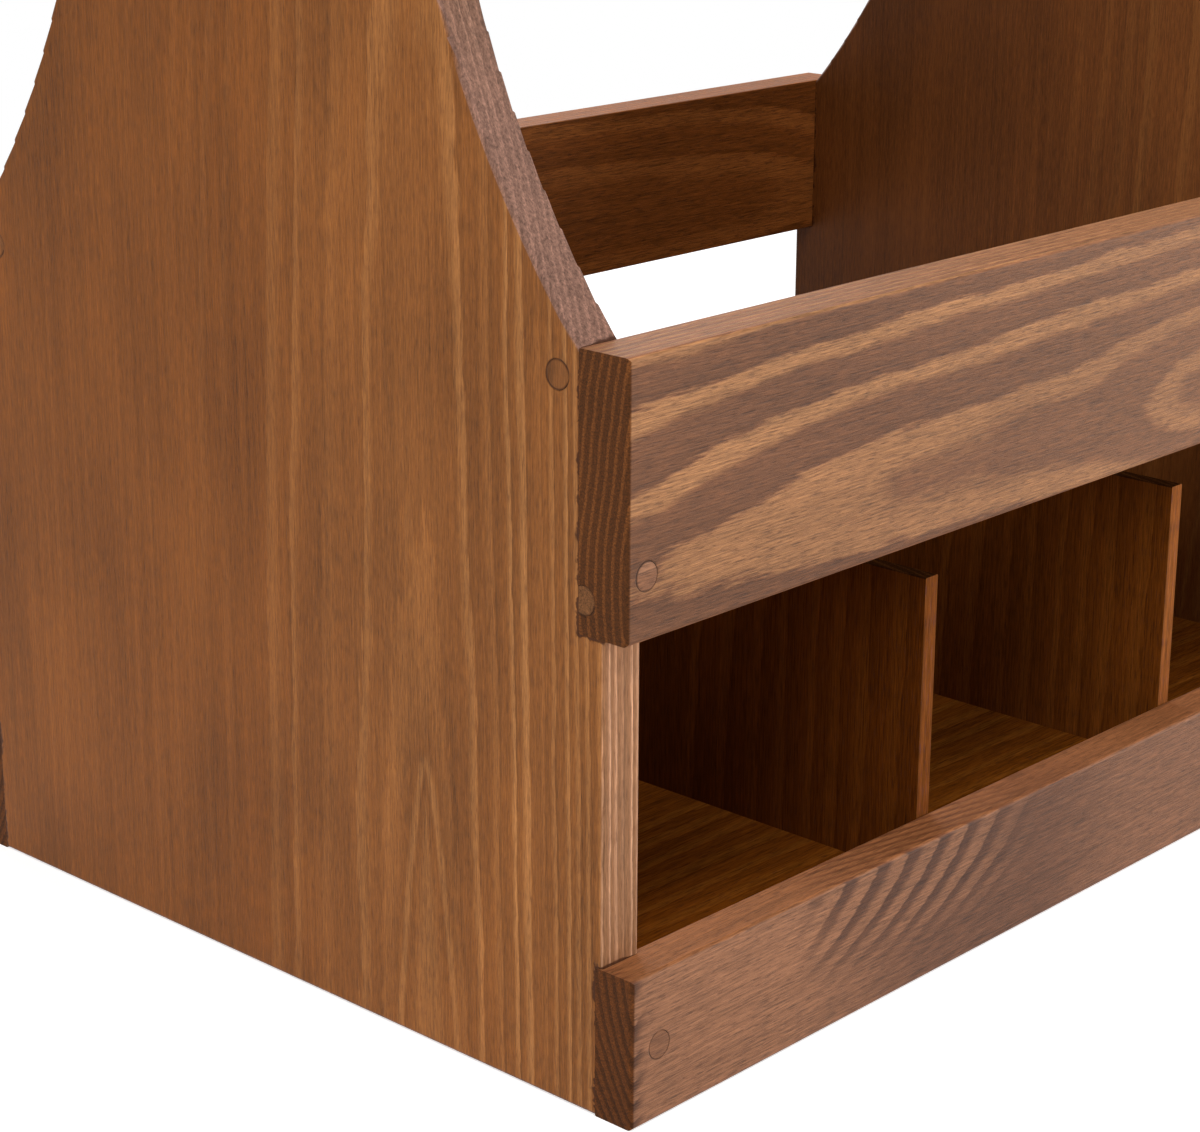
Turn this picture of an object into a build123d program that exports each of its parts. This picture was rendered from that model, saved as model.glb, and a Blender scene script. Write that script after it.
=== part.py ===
from build123d import *
from math import asin, degrees, sqrt
import os

os.makedirs("parts", exist_ok=True)

# Frame: origin on the ground under the middle of the caddy, X along its length,
# Y from front (-) to back (+), Z up. All sizes are in millimetres.

# Driving dimensions of the end panels
inner_length = 268.0
panel_thickness = 10.0
panel_width = 184.0
neck_half_width = 39.0
panel_curve_radius = 200.0

# Driving dimensions of the rails
upper_rail_thickness = 11.5
upper_rail_let_in = 5.9
upper_rail_top = 144.5
front_upper_rail_height = 51.5
back_upper_rail_height = 41.0
lower_rail_thickness = 9.0
lower_rail_let_in = 1.5
lower_rail_height = 30.0

# Driving dimensions of the tray
floor_thickness = 8.0
floor_top = 17.0
divider_thickness = 4.0
divider_top = 81.5

# Driving dimensions of the handle and the fixings
handle_rod_radius = 11.0
plug_radius = 2.7
rail_plug_depth = 3.0
blind_plug_depth = 5.0
screw_shank_radius = 1.5
screw_head_radius = 2.5
screw_head_height = 1.8
screw_length = 20.0

# Places of the fixings, each measured from the edge of the piece that holds it
upper_screw_end_inset = 5.0
upper_screw_rise = 12.0
lower_screw_end_inset = 7.5
panel_plug_edge_inset = 11.0
panel_plug_drop = 5.5
end_plug_edge_inset = 4.8
end_plug_rise = 6.4

# Clearances and rounded edges
sliding_clearance = 0.3
lap_clearance = 0.1
rod_clearance = 0.1
plug_clearance = 0.1
screw_clearance = 0.2
pilot_clearance = 0.05
face_rounding = 0.9
joint_rounding = 0.3
rod_rounding = 1.0

# Places that follow from the sizes above
inner_half = inner_length / 2
outer_half = inner_half + panel_thickness
panel_half = panel_width / 2
upper_seat = panel_half - upper_rail_let_in
upper_face = upper_seat + upper_rail_thickness
lower_seat = panel_half - lower_rail_let_in
lower_face = lower_seat + lower_rail_thickness
curve_centre = neck_half_width + panel_curve_radius
head_centre_height = upper_rail_top + sqrt(panel_curve_radius**2 - (curve_centre - upper_seat) ** 2)
head_top = head_centre_height + neck_half_width
curve_sweep = degrees(asin((head_centre_height - upper_rail_top) / panel_curve_radius))
bay_width = (inner_length - 2 * divider_thickness) / 3
cross_divider_place = (bay_width + divider_thickness) / 2
divider_height = divider_top - floor_top
counterbore_depth = rail_plug_depth + screw_head_height
upper_rail_heights = {-1: front_upper_rail_height, 1: back_upper_rail_height}
side_names = {-1: "front", 1: "back"}
end_names = {-1: "left", 1: "right"}


# The rail screws: centre line, height and outer face of each one
def screw_places():
    places = []
    for side in (-1, 1):
        upper_height = upper_rail_top - upper_rail_heights[side] + upper_screw_rise
        for end in (-1, 1):
            places.append((end * (outer_half - upper_screw_end_inset), side, upper_height, upper_face))
            places.append((end * (outer_half - lower_screw_end_inset), side, lower_rail_height / 2, lower_face))
    return places


# A plane on an outer face at the front or the back, looking outward
def side_plane(x, side, face, height):
    return Plane(origin=(x, side * face, height), x_dir=(1, 0, 0), z_dir=(0, side, 0))


# A plane on the outside of the caddy's left or right end, looking outward
def end_plane(end, y, height):
    return Plane(origin=(end * outer_half, y, height), x_dir=(0, 1, 0), z_dir=(end, 0, 0))


# End panels: one board each, notched for the rails, with a curve up to a round head
for end in (-1, 1):
    with BuildPart() as panel:
        with BuildSketch(Plane.YZ.offset(end * (inner_half + panel_thickness / 2))):
            with BuildLine():
                Line((0, 0), (panel_half, 0))
                Line((panel_half, 0), (panel_half, upper_rail_top))
                Line((panel_half, upper_rail_top), (upper_seat, upper_rail_top))
                CenterArc((curve_centre, head_centre_height), panel_curve_radius, 180, curve_sweep)
                CenterArc((0, head_centre_height), neck_half_width, 0, 90)
                mirror(about=Plane.YZ)
            make_face()
        extrude(amount=panel_thickness / 2, both=True)
        fillet(panel.faces().sort_by(Axis.X)[0].edges(), radius=face_rounding)
        fillet(panel.faces().sort_by(Axis.X)[-1].edges(), radius=face_rounding)

        for side in (-1, 1):
            # Notches for the upper and the lower rail
            notch_height = upper_rail_heights[side]
            notch_depth = panel_half - upper_seat
            with Locations((end * (inner_half + panel_thickness / 2),
                            side * (upper_seat + notch_depth / 2),
                            upper_rail_top - notch_height / 2)):
                Box(panel_thickness, notch_depth, notch_height, mode=Mode.SUBTRACT)
            with Locations((end * (inner_half + panel_thickness / 2),
                            side * (lower_seat + lower_rail_let_in / 2),
                            lower_rail_height / 2)):
                Box(panel_thickness, lower_rail_let_in, lower_rail_height, mode=Mode.SUBTRACT)

        # Bore for the handle rod
        with Locations(end_plane(end, 0, head_centre_height)):
            Hole(handle_rod_radius + rod_clearance, depth=panel_thickness)

        # Blind holes for the plugs in the outer face
        for side in (-1, 1):
            plug_place = side * (panel_half - panel_plug_edge_inset)
            with Locations(end_plane(end, plug_place, upper_rail_top - panel_plug_drop)):
                Hole(plug_radius + plug_clearance, depth=blind_plug_depth)

        # Pilot holes for the rail screws in both edges
        for x, side, height, face in screw_places():
            if x * end > 0:
                with Locations(side_plane(x, side, face, height)):
                    Hole(screw_shank_radius + pilot_clearance, depth=counterbore_depth + screw_length)
    panel.part.label = f"{end_names[end]}_end_panel"
    export_step(panel.part, f"parts/{panel.part.label}.step")


# Rails: a tall pair above and a low pair at the foot, run past both panels and ending flush with them
for side in (-1, 1):
    rail_sizes = {
        "upper": (upper_seat, upper_rail_thickness, upper_rail_heights[side], upper_rail_top, upper_face),
        "lower": (lower_seat, lower_rail_thickness, lower_rail_height, lower_rail_height, lower_face),
    }
    for level, (seat, thickness, height, top, face) in rail_sizes.items():
        with BuildPart() as rail:
            with Locations((0, side * (seat + thickness / 2), top - height / 2)):
                Box(2 * outer_half, thickness, height)
            outer_face = rail.faces().filter_by(Axis.Y).sort_by(Axis.Y)[-1 if side > 0 else 0]
            fillet(outer_face.edges(), radius=face_rounding)
            inner_face = rail.faces().filter_by(Axis.Y).sort_by(Axis.Y)[0 if side > 0 else -1]
            fillet(inner_face.edges().filter_by(Axis.X), radius=joint_rounding)

            # Counterbored screw holes near both ends
            for x, screw_side, screw_height, screw_face in screw_places():
                if screw_side == side and screw_face == face:
                    with Locations(side_plane(x, side, face, screw_height)):
                        CounterBoreHole(
                            radius=screw_shank_radius + screw_clearance,
                            counter_bore_radius=plug_radius + plug_clearance,
                            counter_bore_depth=counterbore_depth,
                            depth=thickness,
                        )

            # Holes for the half plugs in the end grain
            if level == "upper":
                for end in (-1, 1):
                    plug_place = side * (panel_half - end_plug_edge_inset)
                    with Locations(end_plane(end, plug_place, top - height + end_plug_rise)):
                        Hole(plug_radius + plug_clearance, depth=blind_plug_depth)
        rail.part.label = f"{side_names[side]}_{level}_rail"
        export_step(rail.part, f"parts/{rail.part.label}.step")


# Floor board: one board glued between both end panels and both lower rails
with BuildPart() as floor_board:
    with Locations((0, 0, floor_top - floor_thickness / 2)):
        Box(inner_length, 2 * lower_seat, floor_thickness)
floor_board.part.label = "floor_board"
export_step(floor_board.part, "parts/floor_board.step")


# Cross dividers: thin boards on the floor, slotted from above for the long divider
divider_half_depth = lower_seat - sliding_clearance
slot_width = divider_thickness + 2 * lap_clearance
slot_height = divider_height / 2
for end in (-1, 1):
    with BuildPart() as cross_divider:
        divider_x = end * cross_divider_place
        with Locations((divider_x, 0, floor_top + divider_height / 2)):
            Box(divider_thickness, 2 * divider_half_depth, divider_height)
        top_face = cross_divider.faces().sort_by(Axis.Z)[-1]
        fillet(top_face.edges().filter_by(Axis.Y), radius=joint_rounding)
        with Locations((divider_x, 0, divider_top - slot_height / 2)):
            Box(divider_thickness, slot_width, slot_height, mode=Mode.SUBTRACT)
    cross_divider.part.label = f"{end_names[end]}_cross_divider"
    export_step(cross_divider.part, f"parts/{cross_divider.part.label}.step")


# Long divider: halved over both cross dividers from below
with BuildPart() as long_divider:
    with Locations((0, 0, floor_top + divider_height / 2)):
        Box(inner_length - 2 * sliding_clearance, divider_thickness, divider_height)
    top_face = long_divider.faces().sort_by(Axis.Z)[-1]
    fillet(top_face.edges().filter_by(Axis.X), radius=joint_rounding)
    for end in (-1, 1):
        with Locations((end * cross_divider_place, 0, floor_top + slot_height / 2)):
            Box(slot_width, divider_thickness, slot_height, mode=Mode.SUBTRACT)
long_divider.part.label = "long_divider"
export_step(long_divider.part, "parts/long_divider.step")


# Handle rod: a turned rod glued through both heads, flush outside
with BuildPart() as handle_rod:
    with BuildSketch(Plane.YZ.offset(-outer_half)):
        with Locations((0, head_centre_height)):
            Circle(handle_rod_radius)
    extrude(amount=2 * outer_half)
    fillet(handle_rod.edges(), radius=rod_rounding)
handle_rod.part.label = "handle_rod"
export_step(handle_rod.part, "parts/handle_rod.step")


# Rail plugs: flush round plugs over the screw heads, two in each rail
with BuildPart() as rail_plugs:
    for x, side, height, face in screw_places():
        with BuildSketch(side_plane(x, side, face, height)):
            Circle(plug_radius)
        extrude(amount=-rail_plug_depth)
rail_plugs.part.label = "rail_plugs"
export_step(rail_plugs.part, "parts/rail_plugs.step")


# Panel plugs: flush round plugs in the outer faces, beside the tops of the upper rails
with BuildPart() as panel_plugs:
    for end in (-1, 1):
        for side in (-1, 1):
            plug_place = side * (panel_half - panel_plug_edge_inset)
            with BuildSketch(end_plane(end, plug_place, upper_rail_top - panel_plug_drop)):
                Circle(plug_radius)
            extrude(amount=-blind_plug_depth)
panel_plugs.part.label = "panel_plugs"
export_step(panel_plugs.part, "parts/panel_plugs.step")


# Rail end plugs: plugs in the upper rails' end grain, cut off flat by the wall of the notch
with BuildPart() as rail_end_plugs:
    for side in (-1, 1):
        plug_height = upper_rail_top - upper_rail_heights[side] + end_plug_rise
        plug_centre = side * (panel_half - end_plug_edge_inset)
        for end in (-1, 1):
            with BuildSketch(end_plane(end, plug_centre, plug_height)):
                Circle(plug_radius)
                with Locations((side * (upper_seat - plug_radius) - plug_centre, 0)):
                    Rectangle(2 * plug_radius, 2 * plug_radius, mode=Mode.SUBTRACT)
            extrude(amount=-blind_plug_depth)
rail_end_plugs.part.label = "rail_end_plugs"
export_step(rail_end_plugs.part, "parts/rail_end_plugs.step")


# Rail screws: flat-headed screws from the rails into the panels' edges, under the rail plugs
with BuildPart() as rail_screws:
    for x, side, height, face in screw_places():
        with BuildSketch(side_plane(x, side, face - rail_plug_depth, height)):
            Circle(screw_head_radius)
        extrude(amount=-screw_head_height)
        with BuildSketch(side_plane(x, side, face - counterbore_depth, height)):
            Circle(screw_shank_radius)
        extrude(amount=-screw_length)
rail_screws.part.label = "rail_screws"
export_step(rail_screws.part, "parts/rail_screws.step")
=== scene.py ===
# Wooden bottle caddy: looks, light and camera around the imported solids
from math import cos, radians, sin

import bpy
from mathutils import Matrix, Vector


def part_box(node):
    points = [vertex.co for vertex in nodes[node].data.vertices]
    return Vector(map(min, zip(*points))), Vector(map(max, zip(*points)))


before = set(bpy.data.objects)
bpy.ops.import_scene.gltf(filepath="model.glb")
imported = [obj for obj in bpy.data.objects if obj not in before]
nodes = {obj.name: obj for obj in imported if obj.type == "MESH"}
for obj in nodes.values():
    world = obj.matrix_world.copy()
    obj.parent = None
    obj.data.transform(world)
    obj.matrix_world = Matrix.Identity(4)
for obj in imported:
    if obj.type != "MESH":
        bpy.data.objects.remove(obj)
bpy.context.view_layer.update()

# End panels
# Each end is one flat-sawn softwood board with its fibres upright, sawn to a curve, sanded and stained
# walnut brown. The stain takes more in the soft spring wood, so the hard summer lines stay light.


def srgb(red, green, blue):
    """A colour read as 0 to 255 display values, as the linear colour that a socket takes."""
    linear = []
    for share in (red / 255, green / 255, blue / 255):
        linear.append(share / 12.92 if share <= 0.04045 else ((share + 0.055) / 1.055) ** 2.4)
    return (*linear, 1.0)


def add_node(tree, kind, sockets=None, **settings):
    """A node with its settings, and with a value or a link for each socket that is named."""
    made = tree.nodes.new(kind)
    for setting, value in settings.items():
        setattr(made, setting, value)
    for socket, value in (sockets or {}).items():
        if isinstance(value, bpy.types.NodeSocket):
            tree.links.new(value, made.inputs[socket])
        else:
            made.inputs[socket].default_value = value
    return made


def calc(tree, operation, *values):
    """One Math node on values or sockets."""
    made = add_node(tree, "ShaderNodeMath", dict(enumerate(values)), operation=operation)
    return made.outputs[0]


def calc_vector(tree, operation, *values):
    """One Vector Math node on vectors or sockets."""
    made = add_node(tree, "ShaderNodeVectorMath", dict(enumerate(values)), operation=operation)
    return made.outputs["Value" if operation in ("DOT_PRODUCT", "LENGTH", "DISTANCE") else "Vector"]


def dim(tree, colour, share):
    """A colour made darker or lighter by a share."""
    made = add_node(tree, "ShaderNodeVectorMath", {0: colour, "Scale": share}, operation="SCALE")
    return made.outputs["Vector"]


def ease(tree, value, low, high, start=0.0, end=1.0):
    """A smooth step from start to end while value goes from low to high."""
    made = add_node(
        tree,
        "ShaderNodeMapRange",
        {"Value": value, "From Min": low, "From Max": high, "To Min": start, "To Max": end},
        interpolation_type="SMOOTHSTEP",
    )
    return made.outputs["Result"]


def blend_colour(tree, share, first, second):
    """Two colours mixed by a share."""
    made = add_node(tree, "ShaderNodeMix", {0: share, 6: first, 7: second}, data_type="RGBA")
    return made.outputs[2]


def noise(tree, position, waves, detail=2.0, roughness=0.5):
    """Noise about 0 that is stretched along the fibres; waves are per unit of position on each axis."""
    made = add_node(
        tree,
        "ShaderNodeTexNoise",
        {
            "Vector": calc_vector(tree, "MULTIPLY", position, waves),
            "Scale": 1.0,
            "Detail": detail,
            "Roughness": roughness,
        },
    )
    return calc(tree, "SUBTRACT", made.outputs["Fac"], 0.5)


def split_axes(tree, vector):
    """The X, Y and Z of a vector."""
    return add_node(tree, "ShaderNodeSeparateXYZ", {"Vector": vector}).outputs


def start_group(name, inputs, outputs):
    """An empty shader node group with named sockets."""
    tree = bpy.data.node_groups.new(name, "ShaderNodeTree")
    for socket, kind, value in inputs:
        made = tree.interface.new_socket(socket, in_out="INPUT", socket_type="NodeSocket" + kind)
        made.default_value = value
    for socket, kind in outputs:
        tree.interface.new_socket(socket, in_out="OUTPUT", socket_type="NodeSocket" + kind)
    given = tree.nodes.new("NodeGroupInput").outputs
    result = tree.nodes.new("NodeGroupOutput").inputs
    return tree, given, result


def place_group(tree, group, sockets):
    """A group placed in a material or in another group, with its values and links."""
    return add_node(tree, "ShaderNodeGroup", sockets, node_tree=group).outputs


def make_board_axes():
    """Turns a place on the caddy into millimetres along, across and into the board it lies on."""
    tree, given, result = start_group(
        "Board axes",
        [
            ("Place", "Vector", (0, 0, 0)),
            ("Corner", "Vector", (0, 0, 0)),
            ("Along", "Vector", (1, 0, 0)),
            ("Across", "Vector", (0, 1, 0)),
            ("Into", "Vector", (0, 0, 1)),
        ],
        [("Position", "Vector")],
    )
    offset = calc_vector(tree, "SUBTRACT", given["Place"], given["Corner"])
    metres = add_node(
        tree,
        "ShaderNodeCombineXYZ",
        {
            "X": calc_vector(tree, "DOT_PRODUCT", offset, given["Along"]),
            "Y": calc_vector(tree, "DOT_PRODUCT", offset, given["Across"]),
            "Z": calc_vector(tree, "DOT_PRODUCT", offset, given["Into"]),
        },
    ).outputs["Vector"]
    millimetres = calc_vector(tree, "MULTIPLY", metres, (1000, 1000, 1000))
    tree.links.new(millimetres, result["Position"])
    return tree


def make_saw_cut():
    """How squarely a surface is cut across the fibres, and how far it faces a board's narrow edge."""
    tree, given, result = start_group(
        "Saw cut",
        [("Normal", "Vector", (0, 0, 1)), ("Along", "Vector", (1, 0, 0)), ("Across", "Vector", (0, 1, 0))],
        [("End", "Float"), ("Edge", "Float")],
    )
    along = calc(tree, "ABSOLUTE", calc_vector(tree, "DOT_PRODUCT", given["Normal"], given["Along"]))
    across = calc(tree, "ABSOLUTE", calc_vector(tree, "DOT_PRODUCT", given["Normal"], given["Across"]))
    tree.links.new(ease(tree, along, low=0.08, high=0.5), result["End"])
    # Edge marks the narrow edges on which the stain lays a painted light.
    tree.links.new(ease(tree, across, low=0.35, high=0.8), result["Edge"])
    return tree


def make_ring_swell():
    """A swelling or a hollow in the growth rings, as beside a knot, that the saw cuts through."""
    tree, given, result = start_group(
        "Ring swell",
        [
            ("Position", "Vector", (0, 0, 0)),
            ("Place", "Vector", (0, 0, 0)),
            ("Reach", "Vector", (50, 20, 1000)),
            ("Rings", "Float", 1.0),
        ],
        [("Swell", "Float")],
    )
    apart = calc_vector(tree, "SUBTRACT", given["Position"], given["Place"])
    apart = calc_vector(tree, "DIVIDE", apart, given["Reach"])
    squared = calc_vector(tree, "DOT_PRODUCT", apart, apart)
    fall = calc(tree, "EXPONENT", calc(tree, "MULTIPLY", squared, -1.0))
    tree.links.new(calc(tree, "MULTIPLY", fall, given["Rings"]), result["Swell"])
    return tree


def make_growth_rings():
    """The tree's yearly rings, cut by the board: how old a point's wood is, and how much is summer wood."""
    tree, given, result = start_group(
        "Growth rings",
        [
            ("Position", "Vector", (0, 0, 0)),
            ("Ring Depth", "Float", 1.5),
            ("Heart Line", "Float", 0.0),
            ("Ring Spread", "Float", 6.0),
            ("Heart Rings", "Float", 1.0),
            ("Heart Flatness", "Float", 2.0),
            ("Wide From", "Float", 1000.0),
            ("Wide Share", "Float", 1.0),
            ("First Ring", "Float", 0.0),
            ("Taper", "Float", 0.0),
            ("Wander", "Float", 0.6),
            ("Ripple", "Float", 0.2),
            ("Feather", "Float", 0.1),
            ("Uneven", "Float", 0.3),
            ("Swell", "Float", 0.0),
            ("Summer Share", "Float", 0.4),
            ("Summer Onset", "Float", 0.3),
        ],
        [("Summer", "Float"), ("Ring Tone", "Float"), ("Age", "Float")],
    )
    waves = (
        ("Wander", (0.008, 0.03, 0.03), 2.0),
        ("Ripple", (0.035, 0.12, 0.12), 2.0),
        ("Feather", (0.11, 1.1, 1.1), 5.0),
    )
    wave_roughness = 0.65
    spacing_waves = 0.55
    winter = 0.92

    position = given["Position"]
    parts = split_axes(tree, position)
    wide = calc(tree, "MAXIMUM", calc(tree, "SUBTRACT", parts["Y"], given["Wide From"]), 0.0)
    across = calc(tree, "MINIMUM", parts["Y"], given["Wide From"])
    across = calc(tree, "MULTIPLY_ADD", wide, given["Wide Share"], across)
    from_heart = calc(tree, "SUBTRACT", across, given["Heart Line"])
    from_heart = calc(tree, "DIVIDE", calc(tree, "ABSOLUTE", from_heart), given["Ring Spread"])
    powers = calc(
        tree,
        "ADD",
        calc(tree, "POWER", from_heart, given["Heart Flatness"]),
        calc(tree, "POWER", given["Heart Rings"], given["Heart Flatness"]),
    )
    root = calc(tree, "POWER", powers, calc(tree, "DIVIDE", 1.0, given["Heart Flatness"]))
    ring = calc(tree, "SUBTRACT", root, given["Heart Rings"])
    ring = calc(tree, "ADD", ring, calc(tree, "DIVIDE", parts["Z"], given["Ring Depth"]))
    ring = calc(tree, "MULTIPLY_ADD", parts["X"], given["Taper"], ring)
    ring = calc(tree, "ADD", ring, given["First Ring"])
    ring = calc(tree, "ADD", ring, given["Swell"])
    for amount, stretch, detail in waves:
        wave = noise(tree, position, stretch, detail, wave_roughness)
        ring = calc(tree, "MULTIPLY_ADD", wave, given[amount], ring)
    spacing = add_node(
        tree,
        "ShaderNodeTexNoise",
        {"W": ring, "Scale": spacing_waves, "Detail": 1.0},
        noise_dimensions="1D",
    ).outputs["Fac"]
    ring = calc(tree, "MULTIPLY_ADD", spacing, given["Uneven"], ring)
    age = calc(tree, "FRACT", ring)
    onset = calc(tree, "SUBTRACT", 1.0, given["Summer Share"])
    early = calc(tree, "SUBTRACT", onset, given["Summer Onset"])
    summer = ease(tree, age, low=early, high=onset)
    summer = calc(tree, "MULTIPLY", summer, ease(tree, age, low=winter, high=1.0, start=1.0, end=0.0))
    tone = add_node(
        tree, "ShaderNodeTexWhiteNoise", {"W": calc(tree, "FLOOR", ring)}, noise_dimensions="1D"
    ).outputs["Value"]
    tree.links.new(summer, result["Summer"])
    tree.links.new(tone, result["Ring Tone"])
    tree.links.new(age, result["Age"])
    return tree


def make_stained_wood():
    """Stain on a sanded board: rings, fine fibres, dark pores, blotches, darker end grain and dark plug
    lines, with painted light on narrow edges and painted shade in joint gaps.
    """
    tree, given, result = start_group(
        "Stained wood",
        [
            ("Position", "Vector", (0, 0, 0)),
            ("End", "Float", 0.0),
            ("Edge", "Float", 0.0),
            ("Summer", "Float", 0.0),
            ("Ring Tone", "Float", 0.5),
            ("Age", "Float", 0.5),
            ("Spring Colour", "Color", (0.2, 0.1, 0.05, 1)),
            ("Summer Colour", "Color", (0.5, 0.3, 0.15, 1)),
            ("Pore Colour", "Color", (0.05, 0.02, 0.01, 1)),
            ("End Colour", "Color", (0.1, 0.05, 0.02, 1)),
            ("End Rings", "Float", 1.0),
            ("Edge Tint", "Color", (1, 1, 1, 1)),
            ("Edge Rings", "Float", 0.0),
            ("Ring Contrast", "Float", 0.5),
            ("Plain Share", "Float", 0.0),
            ("Plain Level", "Float", 0.3),
            ("Dark Line", "Float", 0.2),
            ("Ragged", "Float", 1.5),
            ("Fibre Length", "Float", 12.0),
            ("Fibre Contrast", "Float", 0.5),
            ("Streak Contrast", "Float", 0.4),
            ("Pore Amount", "Float", 0.3),
            ("Blotch", "Float", 0.5),
            ("Line And Gap Shade", "Float", 0.0),
        ],
        [("Colour", "Color"), ("Roughness", "Float"), ("Height", "Float")],
    )
    patch_waves = (0.006, 0.02, 0.02)
    patch_strength = 1.6
    ragged_waves = (0.08, 2.4, 2.4)
    line_width = 0.16
    spring_darkening = 0.2
    fibres_per_mm = 2.8
    blotch_waves = (0.009, 0.05, 0.05)
    cloud_waves = (0.02, 0.035, 0.035)
    cloud_share = 0.7
    streak_waves = (0.012, 0.8, 0.8)
    pore_waves = (0.3, 2.9, 2.9)
    speck_waves = (0.9, 2.4, 2.4)
    speck_strength = 2.2
    end_tone = 0.8
    mean_summer = 0.4
    line_and_gap_tone = 0.4
    base_roughness = 0.5
    fibre_roughness = 0.3
    end_roughness = 0.2
    fibre_height = 1.4
    summer_height = 0.45
    pore_height = -0.8
    line_and_gap_height = -1.0

    position = given["Position"]
    strength = calc(tree, "MULTIPLY_ADD", given["Ring Tone"], given["Ring Contrast"], 1.0)
    strength = calc(tree, "SUBTRACT", strength, given["Ring Contrast"])
    patchy = calc(tree, "MULTIPLY_ADD", noise(tree, position, patch_waves), patch_strength, 1.0)
    summer = calc(tree, "MULTIPLY", calc(tree, "MULTIPLY", given["Summer"], strength), patchy)
    toward_plain = calc(tree, "SUBTRACT", given["Plain Level"], summer)
    summer = calc(tree, "MULTIPLY_ADD", toward_plain, given["Plain Share"], summer)
    ragged = noise(tree, position, ragged_waves, detail=3.0, roughness=0.7)
    summer = calc(tree, "MULTIPLY", summer, calc(tree, "MULTIPLY_ADD", ragged, given["Ragged"], 1.0))
    summer = calc(tree, "MINIMUM", calc(tree, "MAXIMUM", summer, 0.0), 1.0)

    ringed = calc(tree, "SUBTRACT", 1.0, given["Plain Share"])
    line = ease(tree, given["Age"], low=0.0, high=line_width, start=1.0, end=0.0)
    line = calc(tree, "MULTIPLY", line, given["Dark Line"])
    line = calc(tree, "MULTIPLY", calc(tree, "MULTIPLY", line, strength), ringed)
    darkening = calc(tree, "MULTIPLY", calc(tree, "SUBTRACT", given["Age"], 0.5), ringed)
    spring = calc(tree, "MULTIPLY_ADD", darkening, spring_darkening, 1.0)
    spring = dim(tree, given["Spring Colour"], calc(tree, "SUBTRACT", spring, line))
    colour = blend_colour(tree, summer, spring, given["Summer Colour"])

    fibre_waves = add_node(
        tree,
        "ShaderNodeCombineXYZ",
        {"X": calc(tree, "DIVIDE", 1.0, given["Fibre Length"]), "Y": fibres_per_mm, "Z": fibres_per_mm},
    ).outputs["Vector"]
    fibre = noise(tree, position, fibre_waves, detail=4.0, roughness=0.7)
    blotch = noise(tree, position, blotch_waves, detail=4.0, roughness=0.6)
    cloud = noise(tree, position, cloud_waves)
    blotch = calc(tree, "MULTIPLY_ADD", cloud, cloud_share, blotch)
    streak = noise(tree, position, streak_waves, detail=3.0, roughness=0.6)
    shade = calc(tree, "MULTIPLY_ADD", fibre, given["Fibre Contrast"], 1.0)
    shade = calc(tree, "MULTIPLY_ADD", streak, given["Streak Contrast"], shade)
    shade = calc(tree, "MULTIPLY_ADD", blotch, given["Blotch"], shade)
    pores = noise(tree, position, pore_waves, roughness=0.6)
    pores = calc(tree, "MULTIPLY", ease(tree, pores, low=0.03, high=0.16), given["Pore Amount"])
    colour = blend_colour(tree, pores, colour, given["Pore Colour"])

    end_rings = calc(tree, "MULTIPLY_ADD", given["Summer"], given["End Rings"], end_tone)
    specks = noise(tree, position, speck_waves, detail=3.0, roughness=0.75)
    specks = calc(tree, "MULTIPLY_ADD", specks, speck_strength, 1.0)
    end = dim(tree, given["End Colour"], calc(tree, "MULTIPLY", end_rings, specks))
    # Painted light: the Edge share lightens narrow edges, standing in for sheen on front edges and light
    # from above on tops.
    painted_edge_light = calc_vector(tree, "MULTIPLY", colour, given["Edge Tint"])
    edge_rings = calc(tree, "MULTIPLY", calc(tree, "SUBTRACT", summer, mean_summer), given["Edge Rings"])
    painted_edge_light = dim(tree, painted_edge_light, calc(tree, "ADD", edge_rings, 1.0))
    colour = blend_colour(tree, given["Edge"], colour, painted_edge_light)
    colour = blend_colour(tree, given["End"], colour, end)
    colour = dim(tree, colour, shade)
    # Real dark lines round plugs and painted shade in the rail joints' gaps darken the colour here.
    colour = blend_colour(tree, given["Line And Gap Shade"], colour, dim(tree, given["Pore Colour"], line_and_gap_tone))

    rough = calc(tree, "MULTIPLY_ADD", fibre, fibre_roughness, base_roughness)
    rough = calc(tree, "MULTIPLY_ADD", given["End"], end_roughness, rough)
    height = calc(tree, "MULTIPLY", fibre, fibre_height)
    height = calc(tree, "MULTIPLY_ADD", summer, summer_height, height)
    height = calc(tree, "MULTIPLY_ADD", pores, pore_height, height)
    height = calc(tree, "MULTIPLY_ADD", given["Line And Gap Shade"], line_and_gap_height, height)
    tree.links.new(colour, result["Colour"])
    tree.links.new(rough, result["Roughness"])
    tree.links.new(height, result["Height"])
    return tree


def make_plug_line():
    """The thin dark line where the stain gathered round a plug; signs drop out, as the corners are alike."""
    tree, given, result = start_group(
        "Plug line",
        [("Place", "Vector", (0, 0, 0)), ("Plug", "Vector", (0, 0, 0)), ("Radius", "Float", 0.0027)],
        [("Line", "Float")],
    )
    gap_waves = (330, 330, 330)
    corner = calc_vector(tree, "ABSOLUTE", given["Place"])
    off_line = calc(tree, "SUBTRACT", calc_vector(tree, "DISTANCE", corner, given["Plug"]), given["Radius"])
    off_line = calc(tree, "ABSOLUTE", off_line)
    line = ease(tree, off_line, low=0.0001, high=0.0004, start=0.65, end=0.0)
    closed = ease(tree, noise(tree, given["Place"], gap_waves), low=-0.1, high=0.06, start=1.0, end=0.3)
    tree.links.new(calc(tree, "MULTIPLY", line, closed), result["Line"])
    return tree


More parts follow.
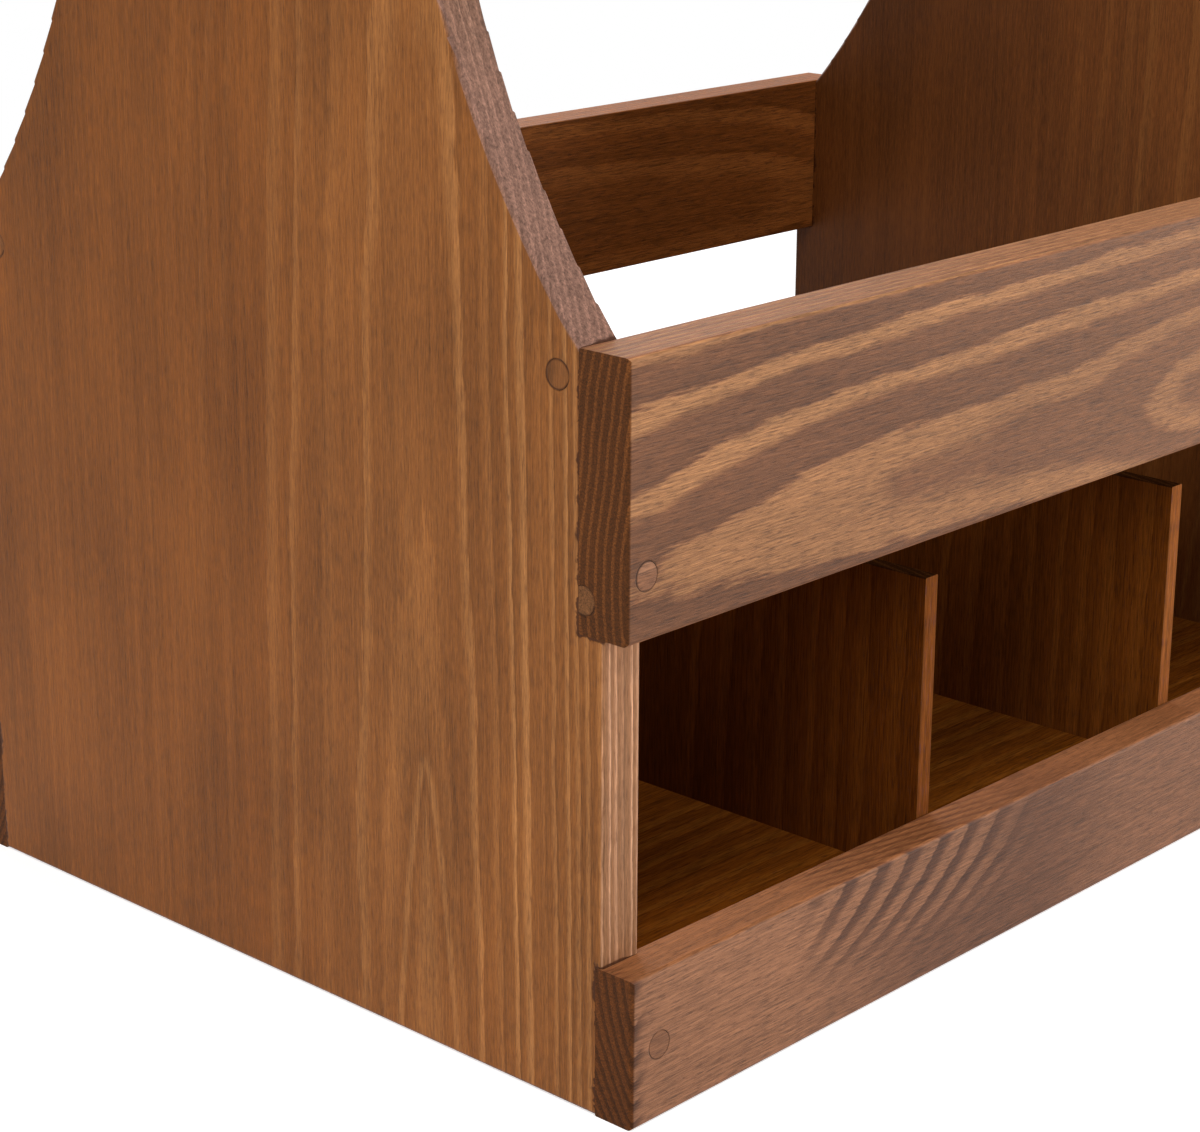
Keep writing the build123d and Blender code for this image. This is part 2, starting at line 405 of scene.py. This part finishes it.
def make_joint_gap_shade():
    """Painted shade in the narrow, uneven gap round a rail's end where it is let into a panel; y and z alone
    count.
    """
    tree, given, result = start_group(
        "Joint gap shade",
        [
            ("Place", "Vector", (0, 0, 0)),
            ("Centre", "Vector", (0, 0, 0)),
            ("Half Size", "Vector", (1, 1, 1)),
            ("Width", "Float", 0.0007),
        ],
        [("Line", "Float")],
    )
    torn_waves = (90, 260, 260)
    torn_strength = 7.0
    narrow_share = 0.5
    thinnest = 0.0001
    off = calc_vector(tree, "ABSOLUTE", calc_vector(tree, "SUBTRACT", given["Place"], given["Centre"]))
    off = calc_vector(tree, "SUBTRACT", off, given["Half Size"])
    outside = calc_vector(tree, "LENGTH", calc_vector(tree, "MAXIMUM", off, (0, 0, 0)))
    parts = split_axes(tree, off)
    inside = calc(tree, "MINIMUM", calc(tree, "MAXIMUM", parts["Y"], parts["Z"]), 0.0)
    from_line = calc(tree, "ABSOLUTE", calc(tree, "ADD", outside, inside))
    torn = noise(tree, given["Place"], torn_waves, detail=3.0, roughness=0.7)
    torn = calc(tree, "MULTIPLY_ADD", torn, torn_strength, narrow_share)
    width = calc(tree, "MAXIMUM", calc(tree, "MULTIPLY", torn, given["Width"]), thinnest)
    share = calc(tree, "DIVIDE", from_line, width)
    tree.links.new(ease(tree, share, low=0.4, high=1.2, start=0.9, end=0.0), result["Line"])
    return tree


def make_panel_figure():
    """A panel's rings are clear at its front edge and plain at the back, with one small arch at its foot."""
    tree, given, result = start_group(
        "Panel figure",
        [
            ("Position", "Vector", (0, 0, 0)),
            ("Arch Line", "Float", 45.5),
            ("Arch Height", "Float", 58.0),
            ("Leg Fall", "Float", 2.5),
            ("Leg Curve", "Float", 1.5),
            ("Ragged", "Float", 1.6),
        ],
        [("Plain Share", "Float"), ("Plain Level", "Float")],
    )
    ragged_waves = (0.05, 0.6, 0.6)
    parts = split_axes(tree, given["Position"])
    to_middle = ease(tree, parts["Y"], low=25.0, high=46.0, start=0.22, end=0.55)
    to_back = ease(tree, parts["Y"], low=55.0, high=115.0, start=0.0, end=0.4)
    front_level = ease(tree, parts["Y"], low=20.0, high=42.0, start=0.58, end=0.0)
    back_level = ease(tree, parts["Y"], low=50.0, high=100.0, start=0.42, end=0.08)

    off_line = calc(tree, "ABSOLUTE", calc(tree, "SUBTRACT", parts["Y"], given["Arch Line"]))
    leg = calc(tree, "POWER", off_line, given["Leg Curve"])
    above = calc(tree, "MULTIPLY_ADD", leg, given["Leg Fall"], parts["X"])
    above = calc(tree, "SUBTRACT", above, given["Arch Height"])
    steep = calc(tree, "MULTIPLY", given["Leg Fall"], given["Leg Curve"])
    steep = calc(tree, "MULTIPLY", steep, steep)
    slope = calc(tree, "SQRT", calc(tree, "MULTIPLY_ADD", off_line, steep, 1.0))
    outside = calc(tree, "DIVIDE", above, slope)
    ragged = noise(tree, given["Position"], ragged_waves)
    outside = calc(tree, "MULTIPLY_ADD", ragged, given["Ragged"], outside)
    arch = ease(tree, calc(tree, "ABSOLUTE", outside), low=0.2, high=1.3, start=0.75, end=0.0)
    arch = calc(tree, "ADD", arch, ease(tree, outside, low=-8.0, high=-1.0, start=0.5, end=0.0))
    arch = calc(tree, "ADD", arch, ease(tree, outside, low=0.5, high=5.0, start=-0.2, end=0.0))

    level = calc(tree, "ADD", back_level, front_level)
    tree.links.new(calc(tree, "ADD", to_middle, to_back), result["Plain Share"])
    tree.links.new(calc(tree, "ADD", level, arch), result["Plain Level"])
    return tree


board_axes = make_board_axes()
saw_cut = make_saw_cut()
ring_swell = make_ring_swell()
growth_rings = make_growth_rings()
stained_wood = make_stained_wood()
plug_line = make_plug_line()
joint_gap_shade = make_joint_gap_shade()
panel_figure = make_panel_figure()
sanded_gloss = 0.12
relief_strength = 0.35
relief_depth = 0.0003


def wood_material(
    name,
    axes,
    corner,
    rings,
    stain,
    swells=(),
    turned=None,
    figure=None,
    plugs=(),
    joints=(),
    gloss=sanded_gloss,
):
    """Stained wood for one board, from its directions along, across and into it, its rings and its stain.

    A swell is a place and a reach in millimetres on the board, and how many rings it lifts. A joint is the
    centre and half the size of the rail that is let in.
    """
    material = bpy.data.materials.new(name)
    material.use_nodes = True
    tree = material.node_tree
    surface = tree.nodes["Principled BSDF"]
    surface.inputs["Specular IOR Level"].default_value = gloss
    place = tree.nodes.new("ShaderNodeTexCoord").outputs["Object"]
    normal = tree.nodes.new("ShaderNodeNewGeometry").outputs["Normal"]
    along, across, into = axes
    position = place_group(
        tree,
        board_axes,
        {"Place": place, "Corner": corner, "Along": along, "Across": across, "Into": into},
    )["Position"]
    cut = place_group(tree, saw_cut, {"Normal": normal, "Along": along, "Across": across})
    swelling = place_group(tree, turned, {"Position": position})["Swell"] if turned else 0.0
    for spot, reach, amount in swells:
        swell = place_group(
            tree, ring_swell, {"Position": position, "Place": spot, "Reach": reach, "Rings": amount}
        )["Swell"]
        swelling = calc(tree, "ADD", swelling, swell)
    ring = place_group(tree, growth_rings, {**rings, "Position": position, "Swell": swelling})
    looks = {**stain, "Position": position, "End": cut["End"], "Edge": cut["Edge"]}
    looks.update({socket: ring[socket] for socket in ("Summer", "Ring Tone", "Age")})
    if figure:
        marks = place_group(tree, figure, {"Position": position})
        looks.update({socket.name: socket for socket in marks})
    lines = [place_group(tree, plug_line, {"Place": place, "Plug": plug})["Line"] for plug in plugs]
    # Each rail joint adds a painted shade line for the gap round the rail's end.
    for centre, half in joints:
        joint = place_group(tree, joint_gap_shade, {"Place": place, "Centre": centre, "Half Size": half})
        lines.append(joint["Line"])
    line_and_gap_shade = 0.0
    for line in lines:
        line_and_gap_shade = calc(tree, "MAXIMUM", line_and_gap_shade, line)
    look = place_group(tree, stained_wood, {**looks, "Line And Gap Shade": line_and_gap_shade})
    tree.links.new(look["Colour"], surface.inputs["Base Color"])
    tree.links.new(look["Roughness"], surface.inputs["Roughness"])
    relief = add_node(
        tree,
        "ShaderNodeBump",
        {"Height": look["Height"], "Strength": relief_strength, "Distance": relief_depth},
    )
    tree.links.new(relief.outputs["Normal"], surface.inputs["Normal"])
    return material


def dress(node, material):
    """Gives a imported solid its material."""
    shape = nodes[node]
    shape.data.materials.clear()
    shape.data.materials.append(material)


lengthwise = (1, 0, 0)
crosswise = (0, 1, 0)
upright = (0, 0, 1)
panel_stain = {
    "Spring Colour": srgb(121, 68, 24),
    "Summer Colour": srgb(180, 122, 70),
    "Pore Colour": srgb(92, 44, 13),
    "End Colour": srgb(143, 106, 90),
    "End Rings": 0.3,
    # Edge Painted Light: a painted sheen on the panels' front edges and curved cuts.
    "Edge Tint": (1.33, 1.7, 3.2, 1.0),
    "Edge Rings": 0.45,
    "Ring Contrast": 0.9,
    "Dark Line": 0.5,
    "Ragged": 1.0,
    "Fibre Length": 4.0,
    "Fibre Contrast": 1.8,
    "Streak Contrast": 0.8,
    "Pore Amount": 0.35,
    "Blotch": 0.9,
}
# Painted shade: the right panel's colours are darkened for its inner face, which lies in the tray's shade.
panel_stain_painted_shade = {**panel_stain, "Spring Colour": srgb(102, 56, 21), "Summer Colour": srgb(132, 83, 39)}
panel_rings = {
    "Ring Depth": 2.0,
    "Heart Line": 47.0,
    "Ring Spread": 2.5,
    "Heart Rings": 9.7,
    "Heart Flatness": 3.0,
    "Wide From": 62.0,
    "Wide Share": 0.5,
    "First Ring": -0.78,
    "Taper": 0.004,
    "Wander": 0.5,
    "Ripple": 0.3,
    "Feather": 0.3,
    "Uneven": 1.2,
    "Summer Share": 0.17,
    "Summer Onset": 0.38,
}
panel_swells = (((250, 110, 0), (70, 30, 1000), 1.5),)
panel_plug_from_edge = 0.011
panel_plug_below_rail = 0.0055
panel_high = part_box("right_end_panel")[1]
rail_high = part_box("front_upper_rail")[1]
panel_plug = (panel_high.x, panel_high.y - panel_plug_from_edge, rail_high.z - panel_plug_below_rail)
rail_joints = []
for node in ("front_upper_rail", "back_upper_rail", "front_lower_rail", "back_lower_rail"):
    low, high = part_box(node)
    middle = (low + high) / 2
    half = (high - low) / 2
    rail_joints.append(((0, middle.y, middle.z), (1.0, half.y, half.z)))
for node, end, stain in (("left_end_panel", -1, panel_stain), ("right_end_panel", 1, panel_stain_painted_shade)):
    low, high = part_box(node)
    panel_wood = wood_material(
        node + "_wood",
        axes=(upright, crosswise, (-end, 0, 0)),
        corner=(low.x if end < 0 else high.x, low.y, low.z),
        rings=panel_rings,
        stain=stain,
        swells=panel_swells,
        figure=panel_figure,
        plugs=(panel_plug,),
        joints=rail_joints,
    )
    dress(node, panel_wood)

# Upper rails
# Two softwood boards run the caddy's whole length, let in half their thickness into the edges of both end
# panels, glued and screwed. Their flat-sawn faces show broad bands and pointed arches, where the saw ran
# almost along the rings.


def make_upper_figure():
    """The upper rail's bands are clearest at one end of the board."""
    tree, given, result = start_group(
        "Upper rail figure", [("Position", "Vector", (0, 0, 0))], [("Plain Share", "Float")]
    )
    parts = split_axes(tree, given["Position"])
    fading = ease(tree, parts["X"], low=40.0, high=220.0, start=0.0, end=0.5)
    tree.links.new(fading, result["Plain Share"])
    return tree


def face_plug(node, from_end, rise):
    """The middle of a rail's face plug at the right end, with its distance from the caddy's middle as y."""
    low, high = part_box(node)
    return (high.x - from_end, max(high.y, -low.y), low.z + rise)


def end_plug(node):
    """The middle of the half plug in an upper rail's end grain."""
    low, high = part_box(node)
    return (high.x, panel_high.y - end_plug_from_edge, low.z + end_plug_rise)


def dress_rail(node, side, **looks):
    """One rail; its grain is measured from the lower left corner of its outer face, seen from outside."""
    low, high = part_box(node)
    rail_wood = wood_material(
        node + "_wood",
        axes=((-side, 0, 0), upright, (0, -side, 0)),
        corner=(side * high.x, low.y if side < 0 else high.y, low.z),
        **looks,
    )
    dress(node, rail_wood)


upper_plug_from_end = 0.005
upper_plug_rise = 0.012
end_plug_from_edge = 0.0048
end_plug_rise = 0.0064
# The rails' pinkish spring and summer colours are partly real stain and partly a painted sheen on their
# front faces; the back upper rail's stain is the same without the painted sheen.
rail_stain_painted_sheen = {
    "Spring Colour": srgb(119, 77, 51),
    "Summer Colour": srgb(172, 120, 78),
    "Pore Colour": srgb(66, 38, 26),
    "End Colour": srgb(87, 49, 20),
    "End Rings": 0.7,
    # Edge Painted Light: painted light on the rails' top and bottom edges, for the light from above.
    "Edge Tint": (1.42, 1.43, 1.43, 1.0),
    "Edge Rings": -0.6,
    "Ring Contrast": 0.2,
    "Dark Line": 0.1,
    "Ragged": 1.3,
    "Fibre Length": 7.0,
    "Fibre Contrast": 2.4,
    "Streak Contrast": 0.7,
    "Pore Amount": 0.45,
    "Blotch": 0.5,
}
back_stain = {**rail_stain_painted_sheen, "Spring Colour": srgb(133, 75, 30), "Summer Colour": srgb(155, 92, 41)}
upper_rings = {
    "Ring Depth": 2.0,
    "Heart Line": 13.5,
    "Ring Spread": 8.0,
    "Heart Rings": 2.4,
    "First Ring": 1.86,
    "Taper": -0.003,
    "Wander": 0.3,
    "Ripple": 0.3,
    "Feather": 0.35,
    "Uneven": 0.0,
    "Summer Share": 0.265,
    "Summer Onset": 0.21,
}
upper_swells = (
    ((-5, 28, 0), (35, 13, 1000), 0.6),
    ((188, 12, 0), (30, 16, 1000), -0.85),
)
upper_figure = make_upper_figure()
for node, side, stain in (("front_upper_rail", -1, rail_stain_painted_sheen), ("back_upper_rail", 1, back_stain)):
    dress_rail(
        node,
        side,
        rings=upper_rings,
        stain=stain,
        swells=upper_swells,
        figure=upper_figure,
        plugs=(face_plug(node, upper_plug_from_end, upper_plug_rise), end_plug(node)),
    )

# Lower rails
# Two low boards close the foot of the tray and hold the floor board. They are let in only a little. Beside
# a hidden knot the rings turn up to the top edge, and the spring wood there shows as dark slanting stripes.


def make_turned_rings():
    """Rings that run along the board and then turn up to its top edge beside a knot."""
    tree, given, result = start_group(
        "Turned rings",
        [
            ("Position", "Vector", (0, 0, 0)),
            ("Ring Width", "Float", 10.4),
            ("Upright At", "Float", 38.0),
            ("Bend", "Float", 0.0039),
        ],
        [("Swell", "Float")],
    )
    parts = split_axes(tree, given["Position"])
    below = calc(tree, "SUBTRACT", given["Upright At"], parts["Y"])
    bend = calc(tree, "MULTIPLY", calc(tree, "MULTIPLY", below, below), given["Bend"])
    along = calc(tree, "DIVIDE", parts["X"], given["Ring Width"])
    tree.links.new(calc(tree, "ADD", along, bend), result["Swell"])
    return tree


def make_lower_figure():
    """The lower rail's stripes are strong beside the knot and faint at its ends and along its foot."""
    tree, given, result = start_group(
        "Lower rail figure",
        [
            ("Position", "Vector", (0, 0, 0)),
            ("Stripe Strength", "Float", 0.92),
            ("Lightest Level", "Float", 0.95),
            ("Knot Darkening", "Float", 0.74),
        ],
        [("Plain Share", "Float"), ("Plain Level", "Float")],
    )
    parts = split_axes(tree, given["Position"])
    beside = ease(tree, parts["X"], low=42.0, high=62.0)
    beyond = ease(tree, parts["X"], low=98.0, high=132.0, start=1.0, end=0.05)
    above = ease(tree, parts["Y"], low=6.0, high=20.0, start=0.1, end=1.0)
    sawn_end = ease(tree, parts["X"], low=0.5, high=5.0, start=1.0, end=0.0)
    stripes = calc(tree, "MULTIPLY", calc(tree, "MULTIPLY", beside, beyond), above)
    stripes = calc(tree, "MULTIPLY", stripes, given["Stripe Strength"])
    stripes = calc(tree, "MAXIMUM", stripes, sawn_end)
    near_knot = ease(tree, parts["X"], low=45.0, high=95.0)
    past_knot = ease(tree, parts["X"], low=125.0, high=165.0, start=1.0, end=0.5)
    darker = calc(tree, "MULTIPLY", calc(tree, "MULTIPLY", near_knot, past_knot), given["Knot Darkening"])
    tree.links.new(calc(tree, "SUBTRACT", 1.0, stripes), result["Plain Share"])
    tree.links.new(calc(tree, "SUBTRACT", given["Lightest Level"], darker), result["Plain Level"])
    return tree


lower_plug_from_end = 0.0075
lower_plug_rise = 0.015
lower_rings = {
    "Ring Depth": 2.2,
    "Ring Spread": 1000.0,
    "First Ring": -0.2,
    "Wander": 0.3,
    "Ripple": 0.3,
    "Feather": 0.25,
    "Uneven": 0.0,
    "Summer Share": 0.43,
    "Summer Onset": 0.32,
}
lower_stain = {
    **rail_stain_painted_sheen,
    "Spring Colour": srgb(90, 57, 40),
    "Summer Colour": srgb(148, 101, 72),
    "End Colour": srgb(76, 41, 15),
    # Edge Painted Light: painted light on the lower rails' top and bottom edges.
    "Edge Tint": (1.38, 1.18, 0.86, 1.0),
    "Streak Contrast": 1.0,
    "Ragged": 1.2,
}
turned_rings = make_turned_rings()
lower_figure = make_lower_figure()
for node, side in (("front_lower_rail", -1), ("back_lower_rail", 1)):
    dress_rail(
        node,
        side,
        rings=lower_rings,
        stain=lower_stain,
        turned=turned_rings,
        figure=lower_figure,
        plugs=(face_plug(node, lower_plug_from_end, lower_plug_rise),),
    )

# Floor board
# One softwood board is glued between both panels and both lower rails. Like the dividers, it is given darker
# colours, which are partly painted shade for the deep tray, and it is not sanded as finely, so it has no
# shine.
unsanded_gloss = 0.0
# Painted shade: the tray's colours are darkened for the shade in its deep cells, and its end grain is
# darkened against the light from above.
tray_stain_painted_shade = {
    **rail_stain_painted_sheen,
    "Spring Colour": srgb(80, 39, 8),
    "Summer Colour": srgb(90, 47, 12),
    "End Colour": srgb(52, 28, 10),
    # Edge Painted Light: a bright painted sheen on the dividers' and floor's narrow edges.
    "Edge Tint": (2.1, 2.5, 4.8, 1.0),
    "Ring Contrast": 0.6,
}
floor_stain = {**tray_stain_painted_shade, "Spring Colour": srgb(118, 64, 17), "Summer Colour": srgb(130, 76, 24)}
tray_rings = {
    **upper_rings,
    "Heart Line": 70.0,
    "Ring Spread": 7.0,
    "Heart Rings": 1.5,
    "Uneven": 1.0,
    "Wander": 0.8,
}
floor_wood = wood_material(
    "floor_board_wood",
    axes=(lengthwise, crosswise, upright),
    corner=tuple(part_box("floor_board")[0]),
    rings=tray_rings,
    stain=floor_stain,
    gloss=unsanded_gloss,
)
dress("floor_board", floor_wood)

# Dividers
# Three thin softwood boards stand on the floor, halved into each other, and part the tray into six cells.
# Their dark colours are partly painted shade for the deep cells, and the right cross divider is given
# lighter colours.
lighter_stain = {**tray_stain_painted_shade, "Spring Colour": srgb(96, 50, 14), "Summer Colour": srgb(107, 59, 19)}
for node, axes, stain in (
    ("left_cross_divider", (upright, crosswise, lengthwise), tray_stain_painted_shade),
    ("right_cross_divider", (upright, crosswise, lengthwise), lighter_stain),
    ("long_divider", (lengthwise, upright, crosswise), tray_stain_painted_shade),
):
    divider_wood = wood_material(
        node + "_wood",
        axes=axes,
        corner=tuple(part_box(node)[0]),
        rings=tray_rings,
        stain=stain,
        gloss=unsanded_gloss,
    )
    dress(node, divider_wood)

# Handle rod
# A turned softwood rod is glued through the heads of both end panels and sanded flush outside. It is
# stained with the rails.
rod_wood = wood_material(
    "handle_rod_wood",
    axes=(lengthwise, upright, crosswise),
    corner=tuple(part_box("handle_rod")[0]),
    rings=upper_rings,
    stain=rail_stain_painted_sheen,
)
dress("handle_rod", rod_wood)

# Plugs
# Round plugs of the same softwood close the screw holes. They are glued in and sanded flush, and the stain
# leaves a thin dark line round each.
front_rail_plug = face_plug("front_upper_rail", upper_plug_from_end, upper_plug_rise)
face_plug_stain = {**rail_stain_painted_sheen, "Spring Colour": srgb(138, 92, 64), "Summer Colour": srgb(158, 110, 80)}
panel_plug_stain = {**panel_stain, "Spring Colour": srgb(138, 86, 44), "Summer Colour": srgb(154, 101, 56)}
end_plug_stain = {**rail_stain_painted_sheen, "End Colour": srgb(128, 84, 50), "End Rings": 0.1}
for node, axes, stain, plug in (
    ("rail_plugs", (lengthwise, upright, crosswise), face_plug_stain, front_rail_plug),
    ("panel_plugs", (upright, crosswise, lengthwise), panel_plug_stain, panel_plug),
    ("rail_end_plugs", (lengthwise, crosswise, upright), end_plug_stain, end_plug("front_upper_rail")),
):
    plug_wood = wood_material(
        node + "_wood",
        axes=axes,
        corner=tuple(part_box(node)[0]),
        rings=upper_rings,
        stain=stain,
        plugs=(plug,),
    )
    dress(node, plug_wood)

# Screws
# Zinc-plated steel screws hold the rails to the panels' edges. They are driven in below the surface and lie
# hidden under the rail plugs.
tarnish_waves = (900, 900, 900)
dull_zinc = srgb(150, 150, 148)
bright_zinc = srgb(190, 190, 186)
screw_steel = bpy.data.materials.new("screw_steel")
screw_steel.use_nodes = True
steel_tree = screw_steel.node_tree
steel = steel_tree.nodes["Principled BSDF"]
steel.inputs["Metallic"].default_value = 1.0
steel.inputs["Roughness"].default_value = 0.35
steel_place = steel_tree.nodes.new("ShaderNodeTexCoord").outputs["Object"]
tarnish = noise(steel_tree, steel_place, tarnish_waves, detail=3.0)
tarnish = ease(steel_tree, tarnish, low=-0.2, high=0.2)
steel_tree.links.new(
    blend_colour(steel_tree, tarnish, dull_zinc, bright_zinc), steel.inputs["Base Color"]
)
dress("rail_screws", screw_steel)

# Studio floor and world
# A plain matt floor runs under the caddy, and a plain world surrounds both. Each looks white to the camera
# and in reflections and adds little light of its own, and the floor keeps the caddy's faint shadow.


def seen_as_background(tree):
    """1 for the rays that show the background: straight from the camera, or by way of gloss or glass."""
    rays = tree.nodes.new("ShaderNodeLightPath").outputs
    seen = calc(tree, "MAXIMUM", rays["Is Camera Ray"], rays["Is Glossy Ray"])
    return calc(tree, "MAXIMUM", seen, rays["Is Transmission Ray"])


white = (1.0, 1.0, 1.0, 1.0)
floor_reach = 0.7
floor_grey = (0.8, 0.8, 0.8, 1.0)
floor_glow = 0.5
world_light = 0.04
floor_mesh = bpy.data.meshes.new("studio_floor")
floor_corners = [(x * floor_reach, y * floor_reach, 0.0) for x, y in ((-1, -1), (1, -1), (1, 1), (-1, 1))]
floor_mesh.from_pydata(floor_corners, [], [(0, 1, 2, 3)])
studio_floor = bpy.data.objects.new("studio_floor", floor_mesh)
bpy.context.scene.collection.objects.link(studio_floor)
floor_paint = bpy.data.materials.new("studio_floor_paint")
floor_paint.use_nodes = True
paint_tree = floor_paint.node_tree
paint = paint_tree.nodes["Principled BSDF"]
paint.inputs["Base Color"].default_value = floor_grey
paint.inputs["Roughness"].default_value = 0.9
paint.inputs["Specular IOR Level"].default_value = 0.0
paint.inputs["Emission Color"].default_value = white
glow = calc(paint_tree, "MULTIPLY", seen_as_background(paint_tree), floor_glow)
paint_tree.links.new(glow, paint.inputs["Emission Strength"])
floor_mesh.materials.append(floor_paint)

world = bpy.data.worlds.new("studio")
bpy.context.scene.world = world
world.use_nodes = True
world_tree = world.node_tree
background = world_tree.nodes["Background"]
background.inputs["Color"].default_value = white
brightness = calc(
    world_tree, "MULTIPLY_ADD", seen_as_background(world_tree), 1.0 - world_light, world_light
)
world_tree.links.new(brightness, background.inputs["Strength"])

# Lamps
# Four broad soft lamps light the caddy evenly: one high in front, one at the left for the end panel, one low
# at the front right for the rails and the tray, and one behind for the back.
lamp_aim = Vector((0.0, 0.0, 0.1))
for name, power, size, place in (
    ("front_lamp", 12.5, (0.8, 0.8), (-0.55, -0.6, 1.4)),
    ("left_lamp", 12.5, (0.8, 0.6), (-1.5, -0.5, 0.6)),
    ("right_lamp", 19.0, (1.0, 0.5), (1.2, -1.11, 0.3)),
    ("back_lamp", 14.0, (0.8, 0.8), (0.5, 1.2, 1.1)),
):
    lamp = bpy.data.lights.new(name, "AREA")
    lamp.energy = power
    lamp.shape = "RECTANGLE"
    lamp.size, lamp.size_y = size
    lamp_object = bpy.data.objects.new(name, lamp)
    bpy.context.scene.collection.objects.link(lamp_object)
    lamp_object.location = place
    lamp_object.rotation_euler = (lamp_aim - Vector(place)).to_track_quat("-Z", "Y").to_euler()

# Camera
# It stands at the left front corner, a little above the caddy, and looks down at the lower corner with a
# long lens.
camera_place = Vector((-0.49114, -0.41324, 0.25784))
turn = radians(42.854)
tilt = radians(17.707)
roll = radians(0.252)
forward = Vector((cos(tilt) * cos(turn), cos(tilt) * sin(turn), -sin(tilt)))
level = Vector((sin(turn), -cos(turn), 0.0))
upward = level.cross(forward)
right = level * cos(roll) + upward * sin(roll)
upward = upward * cos(roll) - level * sin(roll)
camera_data = bpy.data.cameras.new("camera")
camera_data.sensor_width = 36.0
camera_data.lens = 86.174
camera_data.clip_start = 0.01
camera_data.clip_end = 50.0
camera = bpy.data.objects.new("camera", camera_data)
bpy.context.scene.collection.objects.link(camera)
camera.matrix_world = Matrix(
    (
        (right.x, upward.x, -forward.x, camera_place.x),
        (right.y, upward.y, -forward.y, camera_place.y),
        (right.z, upward.z, -forward.z, camera_place.z),
        (0.0, 0.0, 0.0, 1.0),
    )
)
bpy.context.scene.camera = camera
bpy.context.scene.view_settings.view_transform = "Standard"
